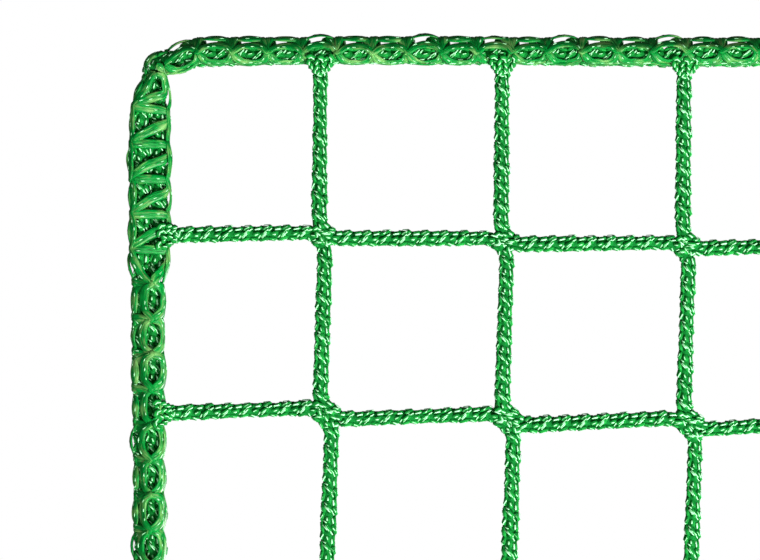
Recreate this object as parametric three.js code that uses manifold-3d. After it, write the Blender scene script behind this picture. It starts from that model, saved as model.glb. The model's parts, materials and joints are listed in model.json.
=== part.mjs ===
// Knotless climbing net with an overedged border, hanging in the XZ plane.
// Every strand is one knitted cord that steps from the top or left border to the
// bottom or right one: across a mesh, down a mesh, across again. Where two strands
// meet they run side by side for a short way, which makes the flat slanting joint.
// A border cord lies before the outermost legs, and overedge stitching binds both.
// Millimetres, +Z up, front towards -Y, origin on top of the middle of the top border.
import * as THREE from "three";
import { mergeVertices } from "three/addons/utils/BufferGeometryUtils.js";
import Module from "manifold-3d";

const wasm = await Module();
wasm.setup();

// Meshes.
const meshColumns = 11;
const meshRows = 16;
const meshPitch = 60;

// Knitted strands: flat sides face along the net, ridges face front and back.
const strandWidth = 4.8;
const strandDepth = 4.6;
const jointRun = 9.8; // how far two strands lie side by side in a joint
const fitGap = 0.3; // between pieces that touch

// The stitching takes up a little of each outer mesh.
const sideTakeUp = 4;
const endTakeUp = 1.5;

// How the limp meshes wander from a true grid.
const rowDrift = 3; // sideways
const rowsPerDrift = 7;
const columnDrop = 3.9; // downwards
const columnsPerDrop = 12;

// Border cord, seated on the shoulder of the outermost legs.
const borderCordDiameter = 4.6;
const borderCordOverhang = 0.4; // of its centre past the strand's side

// Overedge stitching: a close-fitting sleeve with a slot for each strand.
const overedgeWall = 1;
const overedgeClearance = 0.3;
const slotClearance = 0.35;
const outlineChamfer = 1.6;
const cornerInnerRadius = 1.3;

const cordSides = 8;
const cornerSteps = 4;
const bendCutShare = 0.65; // of half the strand's width
const overrun = 1;

const green = new THREE.MeshStandardMaterial({ color: 0x0a9440, roughness: 0.45, metalness: 0 });
const coreGreen = new THREE.MeshStandardMaterial({ color: 0x087a35, roughness: 0.5, metalness: 0 });
const yarnGreen = new THREE.MeshStandardMaterial({ color: 0x34a74b, roughness: 0.35, metalness: 0 });

const halfWidth = strandWidth / 2;
const halfDepth = strandDepth / 2;
const cordRadius = borderCordDiameter / 2;
const netWidth = meshColumns * meshPitch - 2 * sideTakeUp;
const netHeight = meshRows * meshPitch - 2 * endTakeUp;
const bendCut = halfWidth * bendCutShare;
const endInset = halfWidth + fitGap;

// The border cord's centre, outwards and forwards of the outermost legs' centreline.
const cordOut = halfWidth + borderCordOverhang;
const cordForward = halfDepth / 2 + Math.sqrt((cordRadius + fitGap) ** 2 - borderCordOverhang ** 2);

// Distance from the outermost legs' centreline to the centre that the corners turn about.
const cornerReach = endInset + overedgeWall + cornerInnerRadius;
const cornerCut = cornerReach * (2 - Math.SQRT2);

function columnPlace(column) {
  if (column === 0) return 0;
  return column === meshColumns ? netWidth : column * meshPitch - sideTakeUp;
}

function rowPlace(row) {
  if (row === 0) return 0;
  return row === meshRows ? netHeight : row * meshPitch - endTakeUp;
}

// Centre of the joint inside the net where a column and a row meet: right and down.
function jointCentre(column, row) {
  const drift = rowDrift * Math.sin((Math.PI * row) / rowsPerDrift) ** 2;
  const drop = columnDrop * Math.sin((2 * Math.PI * (column - 1)) / columnsPerDrop);
  return [columnPlace(column) + drift, rowPlace(row) + drop];
}

// The two bends of a strand in a joint inside the net. Strands that come down lie on the
// upper right of the joint, and strands that come across on its lower left.
function jointBends(column, row, across) {
  const [right, down] = jointCentre(column, row);
  const spacing = strandWidth + fitGap;
  const near = (jointRun - spacing) / (2 * Math.SQRT2);
  const far = (jointRun + spacing) / (2 * Math.SQRT2);
  return across
    ? [[right - far, down - near], [right + near, down + far]]
    : [[right - near, down - far], [right + far, down + near]];
}

// The two bends of a strand that turns at the border.
function borderBends(right, down, across, cut) {
  return across
    ? [[right - cut, down], [right, down + cut]]
    : [[right, down - cut], [right + cut, down]];
}

// Where a strand begins. The first one from the top fills the top left corner.
function strandStart(column, row, across) {
  if (!across) return [[0, row === 0 ? cornerReach + fitGap : rowPlace(row) + endInset]];
  return column === 0
    ? [[0, cornerReach], [0, cornerCut], [cornerCut, 0]]
    : [[columnPlace(column) + endInset, 0]];
}

// Where a strand ends. The last one down the right border fills the bottom right corner.
function strandEnd(column, row, across) {
  const right = columnPlace(column);
  const down = rowPlace(row);
  const inCorner = column === meshColumns && row === meshRows;
  if (across) return [[right - (inCorner ? cornerReach + fitGap : endInset), down]];
  return inCorner
    ? [[right, down - cornerCut], [right - cornerCut, down], [right - cornerReach, down]]
    : [[right, down - endInset]];
}

// Centreline of a strand as points right and down, from one cut end to the other.
function strandLine(startColumn, startRow, startAcross) {
  let [column, row, across] = [startColumn, startRow, startAcross];
  const points = strandStart(column, row, across);
  for (;;) {
    if (across) column += 1;
    else row += 1;
    if (across ? row === meshRows : column === meshColumns) {
      return [...points, ...strandEnd(column, row, across)];
    }
    const onSide = column === 0 || column === meshColumns;
    const onEnd = row === 0 || row === meshRows;
    points.push(...(onSide || onEnd
      ? borderBends(columnPlace(column), rowPlace(row), across, onSide && onEnd ? cornerCut : bendCut)
      : jointBends(column, row, across)));
    across = !across;
  }
}

// A closed solid through rings of as many points each, capped unless it closes on itself.
function loft(rings, closed = false) {
  const sides = rings[0].length;
  const corners = [];
  const spans = closed ? rings.length : rings.length - 1;
  for (let i = 0; i < spans; i += 1) {
    const [a, b] = [rings[i], rings[(i + 1) % rings.length]];
    for (let k = 0; k < sides; k += 1) {
      const n = (k + 1) % sides;
      corners.push(a[k], a[n], b[n], a[k], b[n], b[k]);
    }
  }
  const last = rings[rings.length - 1];
  for (let k = 1; k < sides - 1 && !closed; k += 1) {
    corners.push(rings[0][0], rings[0][k + 1], rings[0][k], last[0], last[k], last[k + 1]);
  }
  const geometry = new THREE.BufferGeometry().setFromPoints(corners);
  return mergeVertices(geometry);
}

// Rings of a strand's six-sided section, mitred at each bend of its centreline.
function strandRings(line) {
  const points = line.map(([right, down]) => new THREE.Vector2(right, -down));
  const section = [
    [1, -halfDepth / 2], [1, halfDepth / 2], [0, halfDepth],
    [-1, halfDepth / 2], [-1, -halfDepth / 2], [0, -halfDepth],
  ];
  return points.map((point, i) => {
    const before = i > 0 ? point.clone().sub(points[i - 1]).normalize() : null;
    const after = i < points.length - 1 ? points[i + 1].clone().sub(point).normalize() : null;
    const along = (before ?? after).clone().add(after ?? before).normalize();
    const stretch = 1 / along.dot(before ?? after);
    const side = new THREE.Vector2(along.y, -along.x).multiplyScalar(halfWidth * stretch);
    return section.map(([share, back]) =>
      new THREE.Vector3(point.x + share * side.x, back, point.y + share * side.y));
  });
}

// Outline of the border's section as points outwards and forwards, a margin clear of
// the outermost leg and the border cord.
function borderOutline(margin) {
  const inner = -halfWidth - margin;
  const outer = cordOut + cordRadius + margin;
  const rear = -halfDepth - margin;
  const face = cordForward + cordRadius + margin;
  return [
    [inner, rear + outlineChamfer],
    [inner + outlineChamfer, rear],
    [halfWidth, rear],
    [outer, rear + outer - halfWidth],
    [outer, face - outlineChamfer],
    [outer - outlineChamfer, face],
    [cordOut - cordRadius, face],
    [inner, face - (cordOut - cordRadius - inner)],
  ];
}

// An outline along a straight stretch of the top border, between two places.
function straightRings(outline, from, to) {
  return [from, to].map((along) =>
    outline.map(([out, forward]) => new THREE.Vector3(along, -forward, out)));
}

// An outline round the top left corner, from the left border to the top one.
function cornerRings(outline, overturn = 0) {
  return Array.from({ length: cornerSteps + 1 }, (_, step) => {
    const turn = (Math.PI / 2) * (step / cornerSteps);
    const slip = step === 0 ? -overturn : step === cornerSteps ? overturn : 0;
    return outline.map(([out, forward]) => new THREE.Vector3(
      cornerReach - (cornerReach + out) * Math.cos(turn) + slip * Math.sin(turn),
      -forward,
      -cornerReach + (cornerReach + out) * Math.sin(turn) + slip * Math.cos(turn),
    ));
  });
}

function solidOf(geometry) {
  const bare = geometry.clone();
  bare.deleteAttribute("normal");
  bare.deleteAttribute("uv");
  const merged = mergeVertices(bare);
  return new wasm.Manifold(new wasm.Mesh({
    numProp: 3,
    vertProperties: merged.attributes.position.array,
    triVerts: new Uint32Array(merged.index.array),
  }));
}

function geometryOf(solid) {
  const { vertProperties, triVerts } = solid.getMesh();
  return new THREE.BufferGeometry()
    .setAttribute("position", new THREE.BufferAttribute(vertProperties, 3))
    .setIndex(new THREE.BufferAttribute(triVerts, 1));
}

const sleeveOutline = borderOutline(overedgeClearance + overedgeWall);
const boreOutline = borderOutline(overedgeClearance);

// The sleeve of a side, with a slot where each strand leaves it.
function sideSleeve(length, slots) {
  const [from, to] = [cornerReach + fitGap, length - cornerReach - fitGap];
  const slotWidth = strandWidth + 2 * slotClearance;
  const slotDepth = strandDepth + 2 * slotClearance;
  const slotReach = endInset + overedgeWall + overrun;
  let sleeve = solidOf(loft(straightRings(sleeveOutline, from, to)))
    .subtract(solidOf(loft(straightRings(boreOutline, from - overrun, to + overrun))));
  for (const place of slots) {
    const slot = new THREE.BoxGeometry(slotWidth, slotDepth, slotReach);
    slot.translate(place, 0, -slotReach / 2);
    sleeve = sleeve.subtract(solidOf(slot));
  }
  return geometryOf(sleeve);
}

function cornerSleeve() {
  return geometryOf(solidOf(loft(cornerRings(sleeveOutline)))
    .subtract(solidOf(loft(cornerRings(boreOutline, overrun)))));
}

const insideColumns = Array.from({ length: meshColumns - 1 }, (_, i) => columnPlace(i + 1));
const insideRows = Array.from({ length: meshRows - 1 }, (_, i) => rowPlace(i + 1));

// The sides in clockwise order, each with the corner that it starts from.
const sides = [
  { name: "top", corner: "top_left", at: [0, 0], length: netWidth, slots: insideColumns },
  { name: "right", corner: "top_right", at: [netWidth, 0], length: netHeight, slots: insideRows },
  {
    name: "bottom", corner: "bottom_right", at: [netWidth, -netHeight], length: netWidth,
    slots: insideColumns.map((place) => netWidth - place),
  },
  {
    name: "left", corner: "bottom_left", at: [0, -netHeight], length: netHeight,
    slots: insideRows.map((place) => netHeight - place),
  },
];

// The border cord goes once round the net and closes on itself.
function borderCordRings() {
  const section = Array.from({ length: cordSides }, (_, i) => {
    const turn = (2 * Math.PI * (i + 0.5)) / cordSides;
    return [cordOut + cordRadius * Math.cos(turn), cordForward + cordRadius * Math.sin(turn)];
  });
  const upright = new THREE.Vector3(0, 1, 0);
  return sides.flatMap(({ at }, quarter) => cornerRings(section).map((ring) => ring.map((point) =>
    point.applyAxisAngle(upright, (quarter * Math.PI) / 2).add(new THREE.Vector3(at[0], 0, at[1])))));
}

function part(name, geometry, material) {
  const mesh = new THREE.Mesh(geometry, material);
  mesh.name = name;
  return mesh;
}

const twoDigits = (number) => String(number).padStart(2, "0");

const net = new THREE.Group();
for (let i = 0; i < meshColumns; i += 1) {
  const rings = strandRings(strandLine(i, 0, true));
  net.add(part(`strand_from_top_${twoDigits(i + 1)}`, loft(rings), green));
}
for (let i = 0; i < meshRows; i += 1) {
  const rings = strandRings(strandLine(0, i, false));
  net.add(part(`strand_from_left_${twoDigits(i + 1)}`, loft(rings), green));
}
net.add(part("border_cord", loft(borderCordRings(), true), coreGreen));
sides.forEach(({ name, corner, at, length, slots }, quarter) => {
  const sleeve = part(`overedge_${name}`, sideSleeve(length, slots), yarnGreen);
  const turn = part(`overedge_corner_${corner}`, cornerSleeve(), yarnGreen);
  for (const piece of [sleeve, turn]) {
    piece.rotation.y = (quarter * Math.PI) / 2;
    piece.position.set(at[0], 0, at[1]);
    net.add(piece);
  }
});

// The flat on the border's outer side carries the mounts, and the origin is on the top one.
const [flatOut, flatRear] = sleeveOutline[3];
const flatFace = sleeveOutline[4][1];
net.position.set(-netWidth / 2, (flatRear + flatFace) / 2, -flatOut);

const hangingNet = new THREE.Group();
hangingNet.add(net);

export default hangingNet;
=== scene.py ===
import json
import math

import bpy
import numpy as np
from mathutils import Matrix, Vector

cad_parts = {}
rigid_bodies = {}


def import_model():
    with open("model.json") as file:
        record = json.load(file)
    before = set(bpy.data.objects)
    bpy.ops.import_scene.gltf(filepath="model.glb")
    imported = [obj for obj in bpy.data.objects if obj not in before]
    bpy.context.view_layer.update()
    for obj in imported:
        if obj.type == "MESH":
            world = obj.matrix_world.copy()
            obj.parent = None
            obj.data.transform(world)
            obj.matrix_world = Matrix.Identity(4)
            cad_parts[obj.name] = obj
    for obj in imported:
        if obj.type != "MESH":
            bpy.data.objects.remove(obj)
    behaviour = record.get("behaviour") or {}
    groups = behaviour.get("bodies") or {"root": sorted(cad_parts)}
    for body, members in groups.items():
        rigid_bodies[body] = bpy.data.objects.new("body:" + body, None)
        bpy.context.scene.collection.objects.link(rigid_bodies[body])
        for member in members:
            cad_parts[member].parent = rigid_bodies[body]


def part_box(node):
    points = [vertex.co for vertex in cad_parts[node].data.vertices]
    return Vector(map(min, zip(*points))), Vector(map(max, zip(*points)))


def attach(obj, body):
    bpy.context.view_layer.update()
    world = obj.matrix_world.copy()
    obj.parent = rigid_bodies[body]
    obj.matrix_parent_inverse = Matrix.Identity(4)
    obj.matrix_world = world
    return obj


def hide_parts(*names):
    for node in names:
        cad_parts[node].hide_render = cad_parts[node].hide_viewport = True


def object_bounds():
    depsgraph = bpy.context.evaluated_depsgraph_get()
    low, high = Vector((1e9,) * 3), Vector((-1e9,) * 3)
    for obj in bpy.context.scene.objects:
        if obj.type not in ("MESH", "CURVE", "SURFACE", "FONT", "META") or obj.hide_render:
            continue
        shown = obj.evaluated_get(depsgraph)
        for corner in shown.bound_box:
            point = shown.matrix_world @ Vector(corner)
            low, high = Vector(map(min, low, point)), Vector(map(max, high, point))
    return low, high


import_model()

cad_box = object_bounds()
MM = 0.001

# The net's layout in millimetres, as the solids have it.
MESH_COLUMNS = 11
MESH_ROWS = 16
MESH_PITCH = 60
SIDE_TAKE_UP = 4
END_TAKE_UP = 1.5
ROW_DRIFT = 3
ROWS_PER_DRIFT = 7
COLUMN_DROP = 3.9
COLUMNS_PER_DROP = 12
CORNER_RADIUS = 5
CORNER_CUT = CORNER_RADIUS * (2 - math.sqrt(2))  # of a cord that turns there
STRAND_WIDTH = 4.8

# The cords at their joints and bends.
KNITTED_RUN = 7.4  # how far two cords run together in a joint
RUN_SWING = 1.6  # from row to row
ROW_RISE = 1.2  # of the rows that hang a little higher
RISE_SHARE = 0.6  # of that rise, what swings from row to row
ROW_TURN = 2.28  # radians that the swing goes on from a row to the next
FULL_SWING_ROW = 2
KNITTED_SPACING = 3.6
BORDER_BEND = 1.8
END_GAP = 1.2
SWAY = 0.35
SWAY_PHASE = 1
SWAY_UP_SHARE = 1.3
PATH_STEP = 1
SMOOTHING_STEPS = 4

# Knitted cord.
STITCH = 3.2
CORD_WIDTH = 5.6
CORD_DEPTH = 4.8
WIDTH_SWING_SHARE = 0.06
WIDTH_SWINGS = ((17, 1, 0.6), (7.3, 2, 0.4))  # each one's length, turns a seed and share
CORE_SHARE = 0.84  # of the cord's radius
CORE_STEP = 5
CORE_SIDES = 6
UNEVENNESS = 0.05  # of the stitches' sizes
STITCH_BREADTH = 2
STITCH_BULK = 1.1
FILAMENT_BREADTH = 0.62
FILAMENT_BULK = 0.5
UNIT_VARIANTS = 4

# Border, as it is bound: a leg of the net with the border cord beside it where the border
# lies flat, and in front of it where it has rolled. For each lie, how far the border's
# centre is outwards of the leg's own line, how far it spreads, and where the leg and the
# border cord are from that centre, outwards and forwards.
ROLLED_EARLY = (0.6, 1.12, -1.8, 3.0, 2.4, 2.0)
ROLLED_LATE = (2.5, 0.95, -2.3, -0.8, -1.6, 4.0)
LYING_FLAT = (0.05, 1.0, -2.6, 1.0, 2.9, 2.8)
IN_CORNER = (-1.4, 0.9, -1.2, 1.0, 1.1, 3.0)
LATE_FROM_SHARE, LATE_EASE_SHARE = 0.35, 0.3  # of the way between two corners
# The swing of the roll: how far from the corner it starts and how long it is.
EARLY_SWING_START, EARLY_SWING_LENGTH = 42, 150
LATE_SWING_START, LATE_SWING_LENGTH = 30, 190
ROLL_SWING = 6  # degrees
CENTRE_SWING = 0.4
CORNER_EASE_BEFORE, CORNER_EASE_AFTER = 12, 17
FLAT_LENGTH, FLAT_EASE = 69, 11
FLAT_CORD_SPREAD = 0.14

# Overedge stitches.
OVEREDGE_STITCH = 11.5
BAND_BREADTH = 3.0
BAND_BULK = 0.85
OVEREDGE_UNEVENNESS = 0.04
# A thin line along the border's middle, inside the stitching.
HIDDEN_CORE_RADIUS = 0.5
HIDDEN_CORE_STEP = 12

# The photograph's frame and scale at the net.
PHOTO_WIDTH_PX = 760
PX_PER_MM = 3.03
AIM = (-250.3, -79.55)  # across and up
LENS = 150
SENSOR = 36

NET_WIDTH = MESH_COLUMNS * MESH_PITCH - 2 * SIDE_TAKE_UP
NET_HEIGHT = MESH_ROWS * MESH_PITCH - 2 * END_TAKE_UP
FORWARD = np.array([0.0, -1.0, 0.0])


def node_middle(node, axis):
    low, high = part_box(node)
    return (low[axis] + high[axis]) / 2 / MM


# The plane that the cords lie in, and the height of the outermost legs.
NET_PLANE = node_middle("strand_from_top_06", 1)
TOP_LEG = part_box("strand_from_top_06")[1][2] / MM - STRAND_WIDTH / 2


# Layout
def row_swing(row):
    return math.cos(ROW_TURN * (row - FULL_SWING_ROW))


def column_place(column):
    if column == 0:
        return 0
    return NET_WIDTH if column == MESH_COLUMNS else column * MESH_PITCH - SIDE_TAKE_UP


def row_place(row):
    if row == 0:
        return 0
    rise = ROW_RISE * (1 - RISE_SHARE + RISE_SHARE * row_swing(row))
    return NET_HEIGHT if row == MESH_ROWS else row * MESH_PITCH - END_TAKE_UP - rise


def joint_centre(column, row):
    drift = ROW_DRIFT * math.sin(math.pi * row / ROWS_PER_DRIFT) ** 2
    drop = COLUMN_DROP * math.sin(2 * math.pi * (column - 1) / COLUMNS_PER_DROP)
    return column_place(column) + drift, row_place(row) + drop


def joint_run(row):
    return KNITTED_RUN + RUN_SWING * row_swing(row)


def joint_bends(column, row, across):
    right, down = joint_centre(column, row)
    near = (joint_run(row) - KNITTED_SPACING) / (2 * math.sqrt(2))
    far = (joint_run(row) + KNITTED_SPACING) / (2 * math.sqrt(2))
    if across:
        return [(right - far, down - near), (right + near, down + far)]
    return [(right - near, down - far), (right + far, down + near)]


def border_bends(right, down, across, cut):
    if across:
        return [(right - cut, down), (right, down + cut)]
    return [(right, down - cut), (right + cut, down)]


def strand_start(column, row, across):
    if not across:
        return [(0, CORNER_RADIUS if row == 0 else row_place(row) + END_GAP)]
    if column == 0:
        return [(0, CORNER_RADIUS), (0, CORNER_CUT), (CORNER_CUT, 0)]
    return [(column_place(column) + END_GAP, 0)]


def strand_end(column, row, across):
    right, down = column_place(column), row_place(row)
    in_corner = column == MESH_COLUMNS and row == MESH_ROWS
    if across:
        return [(right - (CORNER_RADIUS if in_corner else END_GAP), down)]
    if in_corner:
        return [(right, down - CORNER_CUT), (right - CORNER_CUT, down), (right - CORNER_RADIUS, down)]
    return [(right, down - END_GAP)]


def strand_places(column, row, across):
    """The joints and border places that a cord comes to, each with whether it comes there
    across. At the last one it ends."""
    places = []
    while True:
        column, row = (column + 1, row) if across else (column, row + 1)
        places.append((column, row, across))
        if (row == MESH_ROWS) if across else (column == MESH_COLUMNS):
            return places
        across = not across


def strand_line(column, row, across):
    """A cord's bends as points right and down, from one cut end to the other."""
    points = strand_start(column, row, across)
    *turns, end = strand_places(column, row, across)
    for column, row, across in turns:
        on_side = column in (0, MESH_COLUMNS)
        on_end = row in (0, MESH_ROWS)
        if on_side or on_end:
            cut = CORNER_CUT if on_side and on_end else BORDER_BEND
            points += border_bends(column_place(column), row_place(row), across, cut)
        else:
            points += joint_bends(column, row, across)
    return points + strand_end(*end)


# Border route, anticlockwise from the right end of the top side
def border_route():
    """Points right and down along the outermost legs, the outward direction at each, and
    how far each lies from the last corner and from the next one."""
    sides = []
    for length in (NET_WIDTH, NET_HEIGHT, NET_WIDTH, NET_HEIGHT):
        straight = length - 2 * CORNER_RADIUS
        turn = CORNER_RADIUS * math.pi / 2
        steps = np.arange(0, straight, PATH_STEP)
        rounds = np.arange(straight, straight + turn, PATH_STEP)
        along = np.concatenate([steps, rounds])
        angle = np.maximum(along - straight, 0) / CORNER_RADIUS
        # In the side's own axes: along it, and outwards.
        run = np.minimum(along, straight) + CORNER_RADIUS * np.sin(angle)
        out = CORNER_RADIUS * (np.cos(angle) - 1)
        sides.append((run, out, np.sin(angle), np.cos(angle), along, straight - along))
    corners = [(NET_WIDTH, 0), (0, 0), (0, NET_HEIGHT), (NET_WIDTH, NET_HEIGHT)]
    along_axes = [(-1, 0), (0, 1), (1, 0), (0, -1)]
    out_axes = [(0, -1), (-1, 0), (0, 1), (1, 0)]
    route = []
    for (run, out, lean, face, since, until), corner, axis, outward in zip(
        sides, corners, along_axes, out_axes
    ):
        axis, outward = np.array(axis, float), np.array(outward, float)
        place = corner + (run + CORNER_RADIUS)[:, None] * axis + out[:, None] * outward
        normal = lean[:, None] * axis + face[:, None] * outward
        route.append(np.column_stack([place, normal, since, until]))
    route = np.concatenate(route)
    return route[:, :2], route[:, 2:4], route[:, 4], route[:, 5]


def smoothstep(value):
    value = np.clip(value, 0, 1)
    return value * value * (3 - 2 * value)


def border_state(since, until):
    """How the border lies past the last corner and before the next one: its roll, centre
    and spread, the places of its two cords, and how flat it is."""
    way = since / (since + np.maximum(until, 0))
    late = smoothstep((way - LATE_FROM_SHARE) / LATE_EASE_SHARE)
    swing = late * np.sin(2 * math.pi * (until - LATE_SWING_START) / LATE_SWING_LENGTH)
    swing += (1 - late) * np.sin(2 * math.pi * (since - EARLY_SWING_START) / EARLY_SWING_LENGTH)
    flat = smoothstep((FLAT_LENGTH - since) / FLAT_EASE)
    corner = np.maximum(
        smoothstep(1 - until / CORNER_EASE_BEFORE), 1 - smoothstep(since / CORNER_EASE_AFTER)
    )
    swing *= (1 - flat) * (1 - corner)
    lies = []
    for levels in zip(ROLLED_EARLY, ROLLED_LATE, LYING_FLAT, IN_CORNER):
        lie = levels[0] + late * (levels[1] - levels[0])
        lie = lie + flat * (levels[2] - lie)
        lies.append(lie + corner * (levels[3] - lie))
    lies[0] += CENTRE_SWING * swing
    return np.radians(ROLL_SWING * swing), *lies, flat * (1 - corner)


def spot(right, down, forward=0.0):
    """Places in the frame, in millimetres, from places right, down and forwards."""
    right, down = np.asarray(right, float), np.asarray(down, float)
    up = TOP_LEG - down
    across = right - NET_WIDTH / 2
    wave = SWAY * np.sin(across / MESH_PITCH + SWAY_PHASE) * np.sin(up / MESH_PITCH * SWAY_UP_SHARE)
    return np.stack([across, NET_PLANE - forward + wave, up + 0 * across], axis=-1)


def rolled_place(out, forward, roll):
    return out * np.cos(roll) - forward * np.sin(roll), out * np.sin(roll) + forward * np.cos(roll)


ROUTE, OUTWARD, SINCE, UNTIL = border_route()
ROLLS, CENTRES, SPREADS, *CORD_PLACES, FLATNESS = border_state(SINCE, UNTIL)
LEG_OUT, LEG_FORWARD = rolled_place(*CORD_PLACES[:2], ROLLS)
CORD_OUT, CORD_FORWARD = rolled_place(*CORD_PLACES[2:], ROLLS)


def border_path(out, forward):
    """A line along the border, from its centre outwards and forwards."""
    place = ROUTE + (CENTRES + out)[:, None] * OUTWARD
    return spot(place[:, 0], place[:, 1], forward)


def ways_along(points):
    """How far along a line each of its points is."""
    return np.concatenate([[0], np.cumsum(np.linalg.norm(np.diff(points, axis=0), axis=1))])


def even_points(points, step):
    points = np.asarray(points, float)
    along = ways_along(points)
    wanted = np.linspace(0, along[-1], max(2, round(along[-1] / step) + 1))
    return np.column_stack([np.interp(wanted, along, points[:, i]) for i in range(points.shape[1])])


def eased(points):
    """Rounds the bends of an evenly stepped line."""
    for _ in range(SMOOTHING_STEPS):
        inner = (points[:-2] + 2 * points[1:-1] + points[2:]) / 4
        points = np.concatenate([points[:1], inner, points[-1:]])
    return points


def strand_path(column, row, across):
    """A cord's centre line and how it spreads. Inside the border it follows the border."""
    line = eased(even_points(strand_line(column, row, across), PATH_STEP))
    distances = np.linalg.norm(line[:, None] - ROUTE[None], axis=2)
    nearest = distances.argmin(axis=1)
    held = smoothstep(1 - distances.min(axis=1) / (2 * CORD_WIDTH))
    line = line + (held * (CENTRES + LEG_OUT)[nearest])[:, None] * OUTWARD[nearest]
    spread = 1 + FLAT_CORD_SPREAD * held * FLATNESS[nearest]
    return spot(line[:, 0], line[:, 1], held * LEG_FORWARD[nearest]), spread


# Yarn
def unit(vectors):
    return vectors / np.linalg.norm(vectors, axis=-1, keepdims=True)


def swept(centres, facings, breadths, bulks, profile, pointed=False):
    """A yarn as vertices, faces and the UV of each face's corners. Its section is a profile
    of shares of its breadth and bulk, and it ends in points or in flat caps."""
    centres = np.asarray(centres, float)
    tangents = unit(np.gradient(centres, axis=0))
    lateral = unit(np.cross(tangents, facings))
    normals = np.cross(lateral, tangents)
    profile = np.asarray(profile, float)
    sides = len(profile)
    rings = (
        centres[:, None]
        + profile[None, :, :1] * (lateral * np.asarray(breadths)[:, None] / 2)[:, None]
        + profile[None, :, 1:] * (normals * np.asarray(bulks)[:, None] / 2)[:, None]
    )
    length = ways_along(centres)
    if pointed:
        rings = rings[1:-1]
    verts = rings.reshape(-1, 3)
    ring_length = length[1:-1] if pointed else length
    faces, uvs = [], []
    for i in range(len(rings) - 1):
        for k in range(sides):
            n = (k + 1) % sides
            u, w = k / sides, (k + 1) / sides
            low, high = ring_length[i], ring_length[i + 1]
            faces.append((i * sides + k, (i + 1) * sides + k, (i + 1) * sides + n, i * sides + n))
            uvs.append([(u, low), (u, high), (w, high), (w, low)])
    first, last, top = len(verts), len(verts) + 1, (len(rings) - 1) * sides
    verts = np.concatenate([verts, (centres[0], centres[-1])])
    for k in range(sides):
        n = (k + 1) % sides
        u, m, w = k / sides, (k + 0.5) / sides, (k + 1) / sides
        faces.append((first, k, n))
        uvs.append([(m, 0), (u, ring_length[0]), (w, ring_length[0])])
        faces.append((last, top + n, top + k))
        uvs.append([(m, length[-1]), (w, ring_length[-1]), (u, ring_length[-1])])
    return verts, faces, uvs


def yarn_mesh(name, yarns, glint_filaments):
    """One mesh of several yarns, in metres, with the UV's second number in millimetres. The
    glint filaments are single filaments, marked so that the pale painted highlight colour goes on them."""
    verts, faces, uvs, lustre, offset = [], [], [], [], 0
    for painted_highlights, group in ((0, yarns), (1, glint_filaments)):
        for v, f, uv in group:
            verts.append(v)
            faces += [tuple(i + offset for i in face) for face in f]
            uvs += uv
            lustre += [painted_highlights] * len(v)
            offset += len(v)
    mesh = bpy.data.meshes.new(name)
    mesh.from_pydata((np.concatenate(verts) * MM).tolist(), [], faces)
    layer = mesh.uv_layers.new(name="UVMap")
    layer.data.foreach_set("uv", [x for face in uvs for corner in face for x in corner])
    mesh.attributes.new("lustre", "FLOAT", "POINT").data.foreach_set("value", lustre)
    mesh.polygons.foreach_set("use_smooth", [True] * len(mesh.polygons))
    mesh.update()
    return mesh


# Knit of a cord: yarns that come out of it and go back in. The rows say where they lie
# round the cord, from its left over its front, how far they lean over a stitch, both in
# degrees, where they start, how long and broad they are, and how far they stand out.
YARN_ROWS = (
    (30, 18, 0.55, 1.4, 0.95, 0.05),
    (90, 28, 0.30, 1.2, 0.9, 0.0),
    (150, -30, 0.05, 1.3, 1.0, 0.0),
    (32, 62, 1.50, 1.35, 1.0, 0.3),
    (88, 64, 1.20, 1.5, 1.2, 0.1),
    (148, 48, 1.05, 1.4, 1.0, 0.1),
    (-90, 40, 0.5, 1.45, 1.1, 0.0),
    (-30, 45, 0.0, 1.4, 1.0, 0.05),
    (-150, 30, 0.8, 1.4, 1.0, 0.0),
    (-90, 62, 1.4, 1.5, 1.1, 0.1),
    (-30, 30, 1.1, 1.4, 1.0, 0.2),
    (-150, 50, 1.8, 1.4, 1.05, 0.0),
)
# Single filaments on the knit, listed as the yarns are. Their pale colour is a painted glint.
FILAMENT_ROWS = (
    (52, 6, 0.55, 0.8, 1.15, 0.3),
    (42, 36, 1.48, 0.7, 0.85, 0.35),
    (60, 34, 1.75, 0.55, 0.8, 0.25),
    (10, 10, 1.50, 1.15, 0.8, 0.55),
    (98, 12, 0.28, 0.5, 1.1, 0.3),
    (112, 40, 0.62, 0.35, 0.9, 0.3),
    (78, 50, 1.38, 0.75, 0.75, 0.35),
    (94, 52, 1.24, 0.85, 0.75, 0.38),
    (109, 50, 1.10, 0.7, 0.75, 0.35),
    (146, -26, 0.15, 0.75, 1.0, 0.3),
    (150, 34, 1.12, 0.75, 1.0, 0.35),
    (-90, 45, 0.95, 0.8, 0.9, 0.3),
    (-135, 25, 0.30, 0.7, 1.0, 0.3),
    (-40, 40, 1.55, 0.7, 0.9, 0.35),
)
# The border cord's knit is covered, but for its front.
FRONT_FILAMENT_ROWS = [row for row in FILAMENT_ROWS if row[0] > 0]
FRONT_YARN_ROWS = [row for row in YARN_ROWS if row[0] > -150]
YARN_PROFILE = ((1, -0.1), (0, 1), (-1, -0.1), (0, -1))
FILAMENT_PROFILE = ((1, -0.3), (0, 1), (-1, -0.3))
# Along a yarn: how far on, how far out of the cord and how thick.
YARN_SHARES = ((0, 0, 0), (0.24, 0.9, 0.9), (0.68, 1, 1), (1, 0.2, 0))
FILAMENT_SHARES = ((0, 0.55, 0), (0.2, 0.95, 0.9), (0.75, 1, 1), (1, 0.6, 0))
# Each kind's shape along it, its profile, and its breadth and bulk.
YARN = (YARN_SHARES, YARN_PROFILE, (STITCH_BREADTH, STITCH_BULK))
FILAMENT = (FILAMENT_SHARES, FILAMENT_PROFILE, (FILAMENT_BREADTH, FILAMENT_BULK))
SUNK_SHARE = 0.6  # of the cord's radius, where a yarn goes in
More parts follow.
